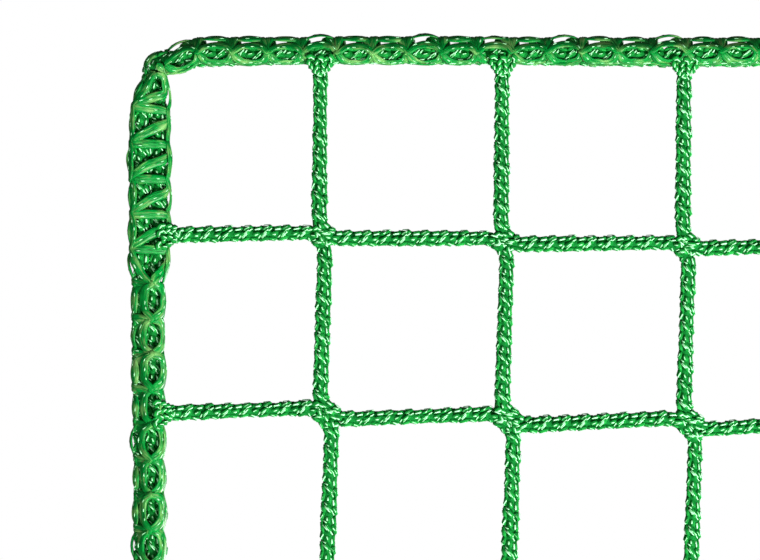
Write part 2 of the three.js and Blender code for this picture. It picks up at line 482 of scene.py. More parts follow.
# How much a row's values differ by chance; the length and breadth as shares.
KNIT_WOBBLE = (5, 12, 0.1, 0.15, 0.12, 0.08)


def short_yarn(turn, lean, start, length, breadth, lift, shape, profile, section):
    """One yarn of the knit, as far as it lies outside the cord."""
    along, rise, size = np.array(shape).T
    angle = np.radians(turn - lean * (along - 0.5))
    sink = SUNK_SHARE + (1 - SUNK_SHARE) * rise
    width = (CORD_WIDTH / 2 - STITCH_BULK / 2 + lift) * sink
    depth = (CORD_DEPTH / 2 - STITCH_BULK / 2 + lift) * sink
    way = STITCH * (start + length * (along - 0.5))
    centres = np.column_stack([way, width * np.cos(angle), depth * np.sin(angle)])
    facings = np.column_stack([0 * angle, np.cos(angle), np.sin(angle)])
    return swept(centres, facings, section[0] * breadth * size, section[1] * size, profile, pointed=True)


def knit_unit(name, variant, rows, filament_rows):
    """Two stitches of the knit."""
    chance = np.random.default_rng(variant + 1)

    def row_yarns(rows, form):
        yarns = []
        for turn, lean, start, length, breadth, lift in rows:
            wobble = chance.uniform(-1, 1, 6) * KNIT_WOBBLE
            yarns.append(
                short_yarn(
                    turn + wobble[0],
                    lean + wobble[1],
                    start + wobble[2],
                    length * (1 + wobble[3]),
                    breadth * (1 + wobble[4]),
                    lift + wobble[5],
                    *form,
                )
            )
        return yarns

    return yarn_mesh(f"{name}_{variant}", row_yarns(rows, YARN), row_yarns(filament_rows, FILAMENT))


# Yarns that bridge the seam between two cords, on both faces of a joint: how far along and
# across it they lie, and their lean in degrees.
BRIDGE_ROWS = (
    (-2.5, 0.8, 25),
    (-1.5, -1.1, -30),
    (-0.3, 1.1, 35),
    (0.5, -1.0, -20),
    (1.6, 1.0, 30),
    (2.6, -0.7, -35),
    (-3.3, 0.2, 75),
    (3.3, -0.2, 75),
)
BRIDGE_HEIGHT = 1.75
BRIDGE_LENGTH = 3
BRIDGED_RUN = 6.4  # the joint that they are made for
# What share of that length a yarn and a filament have, and how far on and out they lie. The
# filament takes the pale painted glint colour.
BRIDGE_YARN = (1, 0, 0)
BRIDGE_FILAMENT = (0.6, 0.35, 0.42)
# At the border they lie over its inner edge in a fan: how far along the border, inwards of
# its centre and forwards each one is, how far it leans and how steeply it drops, in degrees,
# where the border has rolled and where it lies flat.
ROLLED_ROOT = ((0, 4.5, 3.6, 0, 38), (-2.8, 4.0, 3.7, -30, 38), (2.8, 4.0, 3.7, 30, 38))
FLAT_ROOT = ((0, 5.6, 2.2, 0, 18), (-3.0, 5.0, 2.0, -30, 18), (1.6, 5.8, 2.0, 14, 18))


def bridge_unit():
    groups = []
    for form, (length_share, shift, lift) in ((YARN, BRIDGE_YARN), (FILAMENT, BRIDGE_FILAMENT)):
        shape, profile, section = form
        along, rise, size = np.array(shape).T
        run = BRIDGE_LENGTH * length_share * (along - 0.5)
        height = (BRIDGE_HEIGHT + lift) * (0.5 + 0.5 * rise)
        group = []
        for face in (1, -1):
            facings = np.column_stack([0 * run, 0 * run, face + 0 * run])
            for way, side, lean in BRIDGE_ROWS:
                slope = math.radians(lean * face)
                centres = np.column_stack(
                    [way + shift + run * math.cos(slope), side + run * math.sin(slope), face * height]
                )
                group.append(swept(centres, facings, section[0] * size, section[1] * size, profile, True))
        groups.append(group)
    return yarn_mesh("bridge_unit", *groups)


# Overedge stitch. In the border's section it goes round these places, from its outer end
# over the front: two where the border lies flat, and three where it has rolled, because it
# stands out from the cords there.
FLAT_SECTION = ((3.4, 2.8), (-3.4, 1.0))
ROLLED_SECTION = ((1.4, 1.2), (-1.4, 3.6), (-1.9, -0.8))
TURN_RADIUS = 2.78


def section_place(section, round_share, lift):
    """Places on the section, round it from its outer end over the front, as a share of the
    whole round. Gives outwards and forwards, and the facing there."""
    section = np.array(section)
    sides = np.roll(section, -1, axis=0) - section
    turned = np.arctan2(-sides[:, 0], sides[:, 1]) % (2 * math.pi)
    way, angle = 0.0, 0.0
    breaks = [(way, *section[0], angle)]
    for i in range(len(section)):
        way, angle = way + TURN_RADIUS * (turned[i] - angle), turned[i]
        breaks.append((way, *section[i], angle))
        way += np.linalg.norm(sides[i])
        breaks.append((way, *section[(i + 1) % len(section)], angle))
    whole = way + TURN_RADIUS * (2 * math.pi - angle)
    breaks.append((whole, *section[0], 2 * math.pi))
    breaks = np.array(breaks)
    share = np.asarray(round_share, float) % 1
    out, forward, angle = (np.interp(share * whole, breaks[:, 0], breaks[:, i]) for i in (1, 2, 3))
    facing = np.stack([np.cos(angle), np.sin(angle)], axis=-1)
    reach = TURN_RADIUS + np.asarray(lift)[:, None]
    return np.stack([out, forward], axis=-1) + reach * facing, facing


# Each pass as along the border in stitches, round the section, lift, breadth and bulk, where
# the border lies flat and where it has rolled, which brings the nodes to its front.
FLAT_FRONT = (
    (-0.04, 0.02, 0.15, 0.62, 1.2),
    (0.01, 0.07, 0.3, 1.0, 1.1),
    (0.02, 0.14, 0.15, 1.15, 0.9),
    (0.025, 0.24, 0.1, 1.15, 0.9),
    (0.03, 0.34, 0.15, 1.1, 1.0),
    (0.04, 0.41, 0.2, 0.95, 1.1),
    (0.12, 0.455, 0.2, 0.75, 1.1),
    (0.32, 0.455, 0.2, 0.8, 1.1),
    (0.45, 0.41, 0.3, 1.15, 1.0),
    (0.54, 0.33, 0.25, 1.25, 0.9),
    (0.66, 0.23, 0.3, 1.2, 0.9),
    (0.84, 0.12, 0.4, 0.95, 1.1),
    (1.02, 0.04, 0.3, 0.62, 1.2),
)
ROLLED_FRONT = (
    (-0.04, 0.25, 0.15, 0.62, 1.2),
    (0.02, 0.275, 0.3, 0.85, 1.1),
    (0.03, 0.305, 0.2, 1.0, 0.9),
    (0.06, 0.335, 0.2, 1.1, 1.0),
    (0.13, 0.362, 0.25, 1.15, 1.0),
    (0.24, 0.378, 0.3, 1.2, 0.9),
    (0.38, 0.384, 0.3, 1.2, 0.9),
    (0.52, 0.386, 0.3, 1.2, 0.9),
    (0.64, 0.382, 0.3, 1.2, 0.9),
    (0.76, 0.366, 0.3, 1.2, 0.9),
    (0.86, 0.34, 0.3, 1.15, 0.9),
    (0.94, 0.30, 0.35, 0.95, 1.1),
    (1.02, 0.265, 0.3, 0.62, 1.2),
)
FLAT_BACK = (
    (-0.04, 1.04, 0.3, 0.62, 1.2),
    (0.02, 1.0, 0.25, 0.8, 1.1),
    (0.06, 0.95, 0.1, 1.0, 0.9),
    (0.12, 0.88, 0.1, 1.0, 0.9),
    (0.20, 0.78, 0.1, 1.0, 0.9),
    (0.33, 0.68, 0.2, 0.8, 1.1),
    (0.50, 0.62, 0.3, 0.7, 1.2),
    (0.66, 0.66, 0.3, 0.8, 1.1),
    (0.78, 0.76, 0.3, 1.0, 0.9),
    (0.88, 0.88, 0.3, 1.0, 0.9),
    (0.95, 0.97, 0.35, 1.0, 0.9),
    (1.02, 1.03, 0.3, 0.62, 1.2),
)
ROLLED_BACK = (
    (-0.04, 1.265, 0.3, 0.62, 1.2),
    (0.04, 1.20, 0.3, 0.85, 1.1),
    (0.13, 1.11, 0.2, 1.1, 0.9),
    (0.25, 1.01, 0.2, 1.15, 0.9),
    (0.36, 0.88, 0.2, 1.0, 0.9),
    (0.50, 0.70, 0.2, 0.8, 1.1),
    (0.62, 0.62, 0.3, 0.7, 1.2),
    (0.76, 0.68, 0.3, 0.8, 1.1),
    (0.87, 0.82, 0.3, 1.0, 0.9),
    (0.93, 0.97, 0.3, 1.1, 0.9),
    (0.965, 1.10, 0.3, 1.0, 1.0),
    (1.02, 1.25, 0.3, 0.62, 1.2),
)
FLAT_FRONT_CHAIN = (
    (-0.08, 0.04, 0.4, 0.6, 1.1),
    (0.02, 0.055, 0.5, 0.75, 1.1),
    (0.18, 0.06, 0.3, 1.0, 1.0),
    (0.45, 0.06, 0.3, 1.1, 1.0),
    (0.75, 0.06, 0.3, 1.0, 1.0),
    (0.92, 0.06, 0.5, 0.78, 1.1),
    (1.03, 0.055, 0.6, 0.6, 1.1),
    (1.10, 0.04, 0.5, 0.6, 1.1),
)
ROLLED_FRONT_CHAIN = (
    (-0.08, 0.25, 0.4, 0.6, 1.1),
    (0.02, 0.26, 0.6, 0.7, 1.1),
    (0.17, 0.195, 0.5, 0.95, 1.0),
    (0.45, 0.162, 0.5, 1.15, 1.0),
    (0.76, 0.185, 0.5, 0.95, 1.0),
    (0.93, 0.245, 0.5, 0.7, 1.1),
    (1.03, 0.268, 0.6, 0.6, 1.1),
    (1.10, 0.25, 0.5, 0.6, 1.1),
)
FLAT_BACK_CHAIN = (
    (-0.06, 1.02, -0.3, 0.6, 1.1),
    (0.06, 0.98, -0.2, 0.8, 1.1),
    (0.25, 0.965, 0.25, 1.15, 1.1),
    (0.50, 0.96, 0.5, 1.25, 1.1),
    (0.75, 0.965, 0.25, 1.15, 1.1),
    (0.94, 0.98, -0.2, 0.8, 1.1),
    (1.05, 1.02, -0.3, 0.6, 1.1),
)
ROLLED_BACK_CHAIN = (
    (-0.06, 1.01, -0.6, 0.6, 1.1),
    (0.06, 1.01, -0.5, 0.85, 1.1),
    (0.25, 1.02, 0.15, 1.05, 1.2),
    (0.50, 1.025, 0.55, 1.15, 1.2),
    (0.75, 1.02, 0.15, 1.05, 1.2),
    (0.94, 1.01, -0.5, 0.85, 1.1),
    (1.05, 1.01, -0.6, 0.6, 1.1),
)
FLAT_INNER_CHAIN = (
    (-0.06, 0.44, 0.2, 0.7, 1.1),
    (0.06, 0.445, 0.35, 0.75, 1.1),
    (0.30, 0.455, 0.5, 0.8, 1.1),
    (0.55, 0.455, 0.6, 0.85, 1.1),
    (0.80, 0.45, 0.5, 0.8, 1.1),
    (0.96, 0.445, 0.35, 0.75, 1.1),
    (1.06, 0.44, 0.2, 0.7, 1.1),
)
ROLLED_INNER_CHAIN = (
    (-0.06, 0.41, 0.0, 0.7, 1.1),
    (0.06, 0.415, 0.1, 0.8, 1.1),
    (0.30, 0.43, 0.4, 0.95, 1.1),
    (0.55, 0.43, 0.5, 1.0, 1.1),
    (0.80, 0.425, 0.3, 0.9, 1.1),
    (0.96, 0.415, 0.1, 0.8, 1.1),
    (1.06, 0.41, 0.0, 0.7, 1.1),
)
# How much further a chain stands out, and how much further round it lies, in each variant.
CHAIN_LIFTS = (-0.3, 0.1, 0.6, 0.25)
CHAIN_SHIFTS = (0.0, 0.045, -0.006, 0.06)
BAND_PROFILE = (
    (1, 0),
    (0.7, 0.75),
    (0.25, 0.62),
    (-0.1, 0.95),
    (-0.6, 0.72),
    (-1, 0),
    (0, -0.8),
)
BAND_STEP = 1.35
# How much a place's values differ by chance in the middle of a stitch.
BAND_WOBBLE = (0.03, 0.006, 0.12, 0.12, 0.08)
# Filaments on a band, coloured pale as a painted highlight: their length in its steps, their
# place across it and their height above it as shares of its breadth and bulk, and their size.
SHINE_LENGTHS = (1.0, 1.6)
SHINE_PLACE_SHARES = (-0.36, 0.3)
SHINE_LIFT_SHARE = 0.42
SHINE_SIZES = (0.45, 0.8)
SHINE_TAPER = (0, 0.9, 1, 0)
SHINE_PLACES = (0.2, 0.8)  # of a filament in its part of the band
SHINE_FREE_STEPS = (1, 3.5)  # at the band's start and end
CURVE_STEPS = 8


def curve_through(points):
    """A smooth line through points."""
    points = np.asarray(points, float)
    padded = np.concatenate([[2 * points[0] - points[1]], points, [2 * points[-1] - points[-2]]])
    pieces = []
    for i in range(len(points) - 1):
        a, b, c, d = padded[i : i + 4]
        t = np.linspace(0, 1, CURVE_STEPS + 1)[:-1, None]
        pieces.append(
            0.5
            * (2 * b + (c - a) * t + (2 * a - 5 * b + 4 * c - d) * t**2 + (3 * b - a - 3 * c + d) * t**3)
        )
    return np.concatenate([*pieces, points[-1:]])


def overedge_yarn(rolled, flat, before, after, variant, change, painted_highlights):
    """One pass of the stitching, and filaments on it that carry the pale painted highlight colour.
    Its ends stay, so that all variants meet."""
    chance = np.random.default_rng(10 * variant + len(flat))
    rolled, flat = np.array(rolled), np.array(flat)
    # Nothing is drawn together over the back.
    if rolled[:, 1].min() > 0.5:
        before, after = max(before, 0), max(after, 0)
    flatness = before + (after - before) * smoothstep(flat[:, :1])
    points = rolled + flatness * (flat - rolled)
    middle = np.sin(math.pi * np.clip(points[:, 0], 0, 1))
    wobble = chance.uniform(-1, 1, points.shape) * middle[:, None]
    points += wobble * BAND_WOBBLE
    points[:, 1] += change * CHAIN_SHIFTS[variant] * middle
    points[:, 2] += change * CHAIN_LIFTS[variant] * middle
    line = curve_through(points)
    flatness = np.maximum(before + (after - before) * smoothstep(line[:, :1]), 0)
    place, facing = section_place(ROLLED_SECTION, line[:, 1], line[:, 2])
    flat_place, flat_facing = section_place(FLAT_SECTION, line[:, 1], line[:, 2])
    place = place + flatness * (flat_place - place)
    facing = facing + flatness * (flat_facing - facing)
    centres = np.column_stack([line[:, 0] * OVEREDGE_STITCH, -place[:, 0], place[:, 1]])
    facings = np.column_stack([0 * line[:, 0], -facing[:, 0], facing[:, 1]])
    both = even_points(np.column_stack([centres, facings, line[:, 3:]]), BAND_STEP)
    centres, facings = both[:, :3], unit(both[:, 3:6])
    breadths, bulks = BAND_BREADTH * both[:, 6], BAND_BULK * both[:, 7]
    band = swept(centres, facings, breadths, bulks, BAND_PROFILE)
    beside = unit(np.cross(unit(np.gradient(centres, axis=0)), facings))
    filaments = []
    for i in range(painted_highlights):
        place = (i + chance.uniform(*SHINE_PLACES)) / painted_highlights
        start = SHINE_FREE_STEPS[0] + (len(centres) - sum(SHINE_FREE_STEPS)) * place
        at = np.linspace(start, start + chance.uniform(*SHINE_LENGTHS), 4)
        raised = centres + chance.uniform(*SHINE_PLACE_SHARES) * breadths[:, None] * beside
        raised = raised + SHINE_LIFT_SHARE * bulks[:, None] * facings
        way, facing = (
            np.column_stack([np.interp(at, range(len(centres)), values[:, k]) for k in range(3)])
            for values in (raised, facings)
        )
        size = np.array(SHINE_TAPER) * chance.uniform(*SHINE_SIZES)
        filaments.append(
            swept(way, facing, FILAMENT_BREADTH * size, FILAMENT_BULK * size, FILAMENT_PROFILE, pointed=True)
        )
    return band, filaments


# Each pass, how much of a variant's change it takes and how many painted highlight filaments
# lie on it.
OVEREDGE_PASSES = (
    (ROLLED_BACK, FLAT_BACK, 0, 4),
    (ROLLED_FRONT, FLAT_FRONT, 0, 5),
    (ROLLED_BACK_CHAIN, FLAT_BACK_CHAIN, 1, 2),
    (ROLLED_FRONT_CHAIN, FLAT_FRONT_CHAIN, 0.4, 3),
    (ROLLED_INNER_CHAIN, FLAT_INNER_CHAIN, 0.6, 1),
)
# How flat the border is where a stitch begins and where it ends. In a corner the stitch's
# front is drawn together.
STITCH_KINDS = ((0, 0), (0, 1), (1, 0), (1, 1), (-0.8, -0.8))


def overedge_unit(kind, variant):
    """One stitch of the binding."""
    passes = [overedge_yarn(*row[:2], *STITCH_KINDS[kind], variant, *row[2:]) for row in OVEREDGE_PASSES]
    bands = [band for band, _ in passes]
    filaments = [filament for _, group in passes for filament in group]
    return yarn_mesh(f"overedge_unit_{kind}_{variant}", bands, filaments)


# Materials
def add_node(tree, kind, inputs=None, **settings):
    """A node whose inputs are given as values or as the outputs that feed them."""
    node = tree.nodes.new(kind)
    for key, value in settings.items():
        setattr(node, key, value)
    for key, value in (inputs or {}).items():
        if isinstance(value, bpy.types.NodeSocket):
            link(tree, value, node.inputs[key])
        else:
            node.inputs[key].default_value = value
    return node


def link(tree, source, target):
    tree.links.new(source, target)


def maths(tree, operation, *values, kind="ShaderNodeMath"):
    """The result of an operation on values or outputs."""
    return add_node(tree, kind, dict(enumerate(values)), operation=operation).outputs[0]


def vector_maths(tree, operation, *values):
    return maths(tree, operation, *values, kind="ShaderNodeVectorMath")


def vector(tree, x=0, y=0, z=0):
    return add_node(tree, "ShaderNodeCombineXYZ", {"X": x, "Y": y, "Z": z}).outputs[0]


def noise(tree, place, scale=1, detail=1):
    inputs = {"Vector": place, "Scale": scale, "Detail": detail}
    return add_node(tree, "ShaderNodeTexNoise", inputs).outputs["Fac"]


def ranged(tree, value, low, high, new_low, new_high):
    """A value's place between low and high, brought to the new range."""
    inputs = {"Value": value, "From Min": low, "From Max": high, "To Min": new_low, "To Max": new_high}
    return add_node(tree, "ShaderNodeMapRange", inputs).outputs["Result"]


def blended(tree, share, first, second):
    inputs = {"Factor": share, "A": first, "B": second}
    return add_node(tree, "ShaderNodeMix", inputs, data_type="RGBA").outputs["Result"]


def node_group(name, kind, inputs, outputs):
    """A node group, and its inputs and outputs as they are found inside it."""
    tree = bpy.data.node_groups.new(name, kind)
    for in_out, sockets in (("INPUT", inputs), ("OUTPUT", outputs)):
        for key, value in sockets.items():
            tree.interface.new_socket(name=key, in_out=in_out, socket_type=f"NodeSocket{value}")
    return tree, add_node(tree, "NodeGroupInput").outputs, add_node(tree, "NodeGroupOutput").inputs


# Shades of filament yarn: how fast its pattern of lines changes along it, to a millimetre,
# and from one stitch to another, and the scales of the streaks and clouds over it.
LINE_CHANGE = 0.35
STITCH_CHANGE = 40
STREAK_SCALE = (0.45, 0.5, 1.7)  # to that of the lines
CLOUD_SCALE = 220
# The colour is deepest where the lines are low, in the grooves of the bump that they make: painted shade in
# those grooves.
DEEP_FROM, DEEP_TO = 0.34, 0.56  # of the lines, from deep to main
PALE_FROM, PALE_TO, PALE_SHARE = 1.02, 1.38, 0.9  # of streaks and clouds together
# Pale mint on the glint filaments: a painted highlight, not the yarn's own colour.
PAINTED_GLINT = (0.42, 0.92, 0.5)
YARN_ROUGHNESS = (0.25, 0.5)
BUMP_HEIGHT = 0.1


def filament_group():
    """Shared look of filament yarn: fine lines along it, shades that vary, and the pale painted
    highlight colour on the glint filaments.
    """
    tree, inside, outside = node_group(
        "filament yarn",
        "ShaderNodeTree",
        {"Lines": "Float", "Deep": "Color", "Main": "Color", "Pale": "Color", "Lustrous": "Color"},
        {"Color": "Color", "Roughness": "Float", "Height": "Float"},
    )
    place = add_node(tree, "ShaderNodeTexCoord").outputs
    tint = add_node(tree, "ShaderNodeAttribute", attribute_name="tint").outputs["Fac"]
    # The glint filaments take the pale painted highlight colour.
    lustre = add_node(tree, "ShaderNodeAttribute", attribute_name="lustre").outputs["Fac"]
    split = add_node(tree, "ShaderNodeSeparateXYZ", {0: place["UV"]}).outputs
    across = maths(tree, "MULTIPLY", split["X"], inside["Lines"])
    along = maths(tree, "MULTIPLY", split["Y"], LINE_CHANGE)
    lines_at = vector(tree, across, along, maths(tree, "MULTIPLY", tint, STITCH_CHANGE))
    lines = noise(tree, lines_at)
    streaks = noise(tree, vector_maths(tree, "MULTIPLY", lines_at, STREAK_SCALE))
    clouds = noise(tree, place["Object"], CLOUD_SCALE)
    # Deep where the bump's lines are low: painted shade in the grooves.
    main_share = ranged(tree, lines, DEEP_FROM, DEEP_TO, 0, 1)
    shades = maths(tree, "ADD", clouds, streaks)
    pale_share = ranged(tree, shades, PALE_FROM, PALE_TO, 0, PALE_SHARE)
    main = blended(tree, main_share, inside["Deep"], inside["Main"])
    pale = blended(tree, pale_share, main, inside["Pale"])
    link(tree, blended(tree, lustre, pale, inside["Lustrous"]), outside["Color"])
    link(tree, ranged(tree, clouds, 0, 1, *YARN_ROUGHNESS), outside["Roughness"])
    link(tree, lines, outside["Height"])
    return tree


FILAMENTS = filament_group()


def surface(name, values):
    """A material and its shader, with what is the same all over set on the shader."""
    material = bpy.data.materials.new(name)
    material.use_nodes = True
    shader = material.node_tree.nodes["Principled BSDF"]
    for key, value in values.items():
        shader.inputs[key].default_value = value
    return material, shader


def yarn_material(name, lines, deep, main, pale, gloss, bump):
    material, shader = surface(name, {"Specular IOR Level": gloss})
    tree = material.node_tree
    colours = {"Deep": deep, "Main": main, "Pale": pale, "Lustrous": PAINTED_GLINT}
    inputs = {"Lines": lines, **{key: (*colour, 1) for key, colour in colours.items()}}
    group = add_node(tree, "ShaderNodeGroup", inputs, node_tree=FILAMENTS)
    bumps = add_node(
        tree,
        "ShaderNodeBump",
        {"Strength": bump, "Distance": BUMP_HEIGHT * MM, "Height": group.outputs["Height"]},
    )
    link(tree, group.outputs["Color"], shader.inputs["Base Color"])
    link(tree, group.outputs["Roughness"], shader.inputs["Roughness"])
    link(tree, bumps.outputs["Normal"], shader.inputs["Normal"])
    return material


def core_material(deep, pale):
    """The cord's inside, seen only between its stitches, coloured darker than the yarn as painted
    shade in the gaps.
    """
    material, shader = surface("cord inside", {"Roughness": 0.7, "Specular IOR Level": 0.03})
    tree = material.node_tree
    place = add_node(tree, "ShaderNodeTexCoord").outputs["Object"]
    share = noise(tree, place, scale=900, detail=2)
    link(tree, blended(tree, share, (*deep, 1), (*pale, 1)), shader.inputs["Base Color"])
    return material


KNIT_YARN = yarn_material(
    "knitted yarn",
    lines=8.0,
    deep=(0.004, 0.14, 0.02),
    main=(0.008, 0.23, 0.032),
    pale=(0.014, 0.32, 0.045),
    gloss=0.03,
    bump=0.6,
)
BAND_YARN = yarn_material(
    "overedge yarn",
    lines=17.0,
    deep=(0.0, 0.1, 0.013),
    main=(0.0, 0.25, 0.032),
    pale=(0.2, 0.43, 0.12),
    gloss=0.15,
    bump=1.0,
)
# Darker than the yarn: painted shade between the stitches.
CORE_PAINTED_SHADE = core_material(deep=(0.003, 0.11, 0.016), pale=(0.006, 0.21, 0.03))


# Geometry Nodes
def stitches_along_path():
    """A tree that repeats a stitch along a path and bends it to the path. The path's points
    carry lie: the roll about the path, how far the stitch is spread across it, and the first
    of the stitches to choose from. Loose points marked bridge each carry a bridge's turn in
    lie, and its stretch."""
    tree, inside, outside = node_group(
        "stitches along a path",
        "GeometryNodeTree",
        {
            "Path": "Geometry",
            "Stitches": "Collection",
            "Bridge": "Object",
            "Pitch": "Float",
            "Unevenness": "Float",
            "Seed": "Int",
            "Core radius": "Float",
            "Core step": "Float",
            "Yarn": "Material",
            "Core": "Material",
        },
        {"Geometry": "Geometry"},
    )

    def stored(name, kind):
        node = add_node(tree, "GeometryNodeInputNamedAttribute", {"Name": name}, data_type=kind)
        return node.outputs["Attribute"]

    def store(geometry, name, value, kind, domain):
        inputs = {"Geometry": geometry, "Name": name, "Value": value}
        node = add_node(tree, "GeometryNodeStoreNamedAttribute", inputs, data_type=kind, domain=domain)
        return node.outputs["Geometry"]

    def separate(values):
        return add_node(tree, "ShaderNodeSeparateXYZ", {0: values}).outputs

    def scaled(direction, amount):
        inputs = {0: direction, "Scale": amount}
        return add_node(tree, "ShaderNodeVectorMath", inputs, operation="SCALE").outputs[0]

    lie = stored("lie", "FLOAT_VECTOR")
    apart = add_node(
        tree,
        "GeometryNodeSeparateGeometry",
        {"Geometry": inside["Path"], "Selection": stored("bridge", "BOOLEAN")},
        domain="POINT",
    )
    curve = add_node(tree, "GeometryNodeMeshToCurve", {"Mesh": apart.outputs["Inverted"]}).outputs["Curve"]
    length = add_node(tree, "GeometryNodeCurveLength", {"Curve": curve}).outputs["Length"]

    def on_path(way):
        """The path at a length along it, with its lie there as the value."""
        inputs = {"Curves": curve, "Value": lie, "Length": way}
        settings = {"mode": "LENGTH", "use_all_curves": True, "data_type": "FLOAT_VECTOR"}
        return add_node(tree, "GeometryNodeSampleCurve", inputs, **settings).outputs

    # Stitches in a straight row, each chosen by how the path lies at its middle.
    whole = maths(tree, "ROUND", maths(tree, "DIVIDE", length, inside["Pitch"]))
    count = maths(tree, "MAXIMUM", whole, 1)
    pitch = maths(tree, "DIVIDE", length, count)
    step = vector(tree, pitch)
    line = add_node(tree, "GeometryNodeMeshLine", {"Count": count, "Offset": step}, mode="OFFSET")
    stitch = add_node(
        tree,
        "GeometryNodeCollectionInfo",
        {"Separate Children": True, "Reset Children": True, "Collection": inside["Stitches"]},
    )
    pick = add_node(
        tree,
        "FunctionNodeRandomValue",
        {4: 0, 5: UNIT_VARIANTS - 1, "Seed": inside["Seed"]},
        data_type="INT",
    )
    grow = maths(tree, "ADD", 1, inside["Unevenness"])
    shrink = maths(tree, "SUBTRACT", 1, inside["Unevenness"])
    size = add_node(
        tree, "FunctionNodeRandomValue", {2: shrink, 3: grow, "Seed": inside["Seed"]}, data_type="FLOAT"
    )
    stretch = maths(tree, "DIVIDE", pitch, inside["Pitch"])
    parts = separate(add_node(tree, "GeometryNodeInputPosition").outputs[0])
    middle = maths(tree, "MULTIPLY_ADD", pitch, 0.5, parts["X"])
    first = maths(tree, "ADD", separate(on_path(middle)["Value"])["Z"], 0.5)
    placed = add_node(
        tree,
        "GeometryNodeInstanceOnPoints",
        {
            "Pick Instance": True,
            "Points": line.outputs["Mesh"],
            "Instance": stitch.outputs[0],
            "Instance Index": maths(tree, "ADD", first, pick.outputs[2]),
            "Scale": vector(tree, stretch, size.outputs[1], size.outputs[1]),
        },
    )
    tint = add_node(tree, "FunctionNodeRandomValue", {"Seed": inside["Seed"]}, data_type="FLOAT").outputs[1]
    tinted = store(placed.outputs["Instances"], "tint", tint, "FLOAT", "INSTANCE")
    real = add_node(tree, "GeometryNodeRealizeInstances", {"Geometry": tinted})

    # The row is rolled, spread and bent to the path.
    sample = on_path(parts["X"])
    lies = separate(sample["Value"])
    forward = tuple(FORWARD)
    left = vector_maths(
        tree, "NORMALIZE", vector_maths(tree, "CROSS_PRODUCT", forward, sample["Tangent"])
    )
    spread = maths(tree, "MULTIPLY", parts["Y"], lies["Y"])
    roll = add_node(
        tree,
        "ShaderNodeVectorRotate",
        {"Vector": vector(tree, spread, parts["Z"]), "Angle": lies["X"]},
        rotation_type="Z_AXIS",
    )
    rolled = separate(roll.outputs[0])
    beside = vector_maths(tree, "ADD", scaled(left, rolled["X"]), scaled(forward, rolled["Y"]))
    place = vector_maths(tree, "ADD", beside, sample["Position"])
    bent = add_node(
        tree, "GeometryNodeSetPosition", {"Geometry": real.outputs["Geometry"], "Position": place}
    )

    # The core along the path.
    even = add_node(
        tree, "GeometryNodeResampleCurve", {"Curve": curve, "Length": inside["Core step"]}, mode="LENGTH"
    )
    ring = add_node(
        tree,
        "GeometryNodeCurvePrimitiveCircle",
        {"Resolution": CORE_SIDES, "Radius": inside["Core radius"]},
    )
    tube = add_node(
        tree,
        "GeometryNodeCurveToMesh",
        {"Fill Caps": True, "Curve": even.outputs["Curve"], "Profile Curve": ring.outputs["Curve"]},
    )
    core = store(tube.outputs["Mesh"], "core", True, "BOOLEAN", "FACE")

    # Bridges between two cords, turned and stretched the way that their points say.
    bridge = add_node(tree, "GeometryNodeObjectInfo", {"As Instance": True, "Object": inside["Bridge"]})
    bridges = add_node(
        tree,
        "GeometryNodeInstanceOnPoints",
        {
            "Points": apart.outputs["Selection"],
            "Instance": bridge.outputs["Geometry"],
            "Rotation": lie,
            "Scale": vector(tree, stored("stretch", "FLOAT"), 1, 1),
        },
    )
    tinted_bridges = store(bridges.outputs["Instances"], "tint", tint, "FLOAT", "INSTANCE")

    joined = add_node(tree, "GeometryNodeJoinGeometry")
    for part in (core, tinted_bridges, bent.outputs["Geometry"]):
        link(tree, part, joined.inputs[0])
    final = add_node(tree, "GeometryNodeRealizeInstances", {"Geometry": joined.outputs[0]})
    yarned = add_node(
        tree,
        "GeometryNodeSetMaterial",
        {"Geometry": final.outputs["Geometry"], "Material": inside["Yarn"]},
    )
    cored = add_node(
        tree,
        "GeometryNodeSetMaterial",
        {
            "Geometry": yarned.outputs["Geometry"],
            "Selection": stored("core", "BOOLEAN"),
            "Material": inside["Core"],
        },
    )
    link(tree, cored.outputs["Geometry"], outside["Geometry"])
    return tree


STITCHES = stitches_along_path()


def linked_object(name, data):
    ob = bpy.data.objects.new(name, data)
    bpy.context.scene.collection.objects.link(ob)
    return ob


def unit_collection(name, meshes):
    """The variants of a stitch, for a tree to choose from in the order of their names."""
    collection = bpy.data.collections.new(name)
    bpy.context.scene.collection.children.link(collection)
    for mesh in meshes:
        collection.objects.link(bpy.data.objects.new(mesh.name, mesh))
    return collection


def drop_collection(collection):
    for ob in list(collection.objects):
        bpy.data.objects.remove(ob)
    bpy.data.collections.remove(collection)


def path_object(name, points, rolls, spreads, kinds, bridges):
    """A line for stitches, and loose points for bridges with their turns and stretches."""
    mesh = bpy.data.meshes.new(name)
    count = len(points)
    places = [*points, *(place for place, _, _ in bridges)]
    mesh.from_pydata((np.array(places) * MM).tolist(), [(i, i + 1) for i in range(count - 1)], [])
    lies = [*zip(rolls, spreads, kinds * UNIT_VARIANTS), *(turn for _, turn, _ in bridges)]
    lie = mesh.attributes.new("lie", "FLOAT_VECTOR", "POINT")
    lie.data.foreach_set("vector", np.ravel(lies))
    bridge = mesh.attributes.new("bridge", "BOOLEAN", "POINT")
    bridge.data.foreach_set("value", [i >= count for i in range(len(places))])
    stretch = mesh.attributes.new("stretch", "FLOAT", "POINT")
    stretch.data.foreach_set("value", [1] * count + [long for _, _, long in bridges])
    return linked_object(name, mesh)


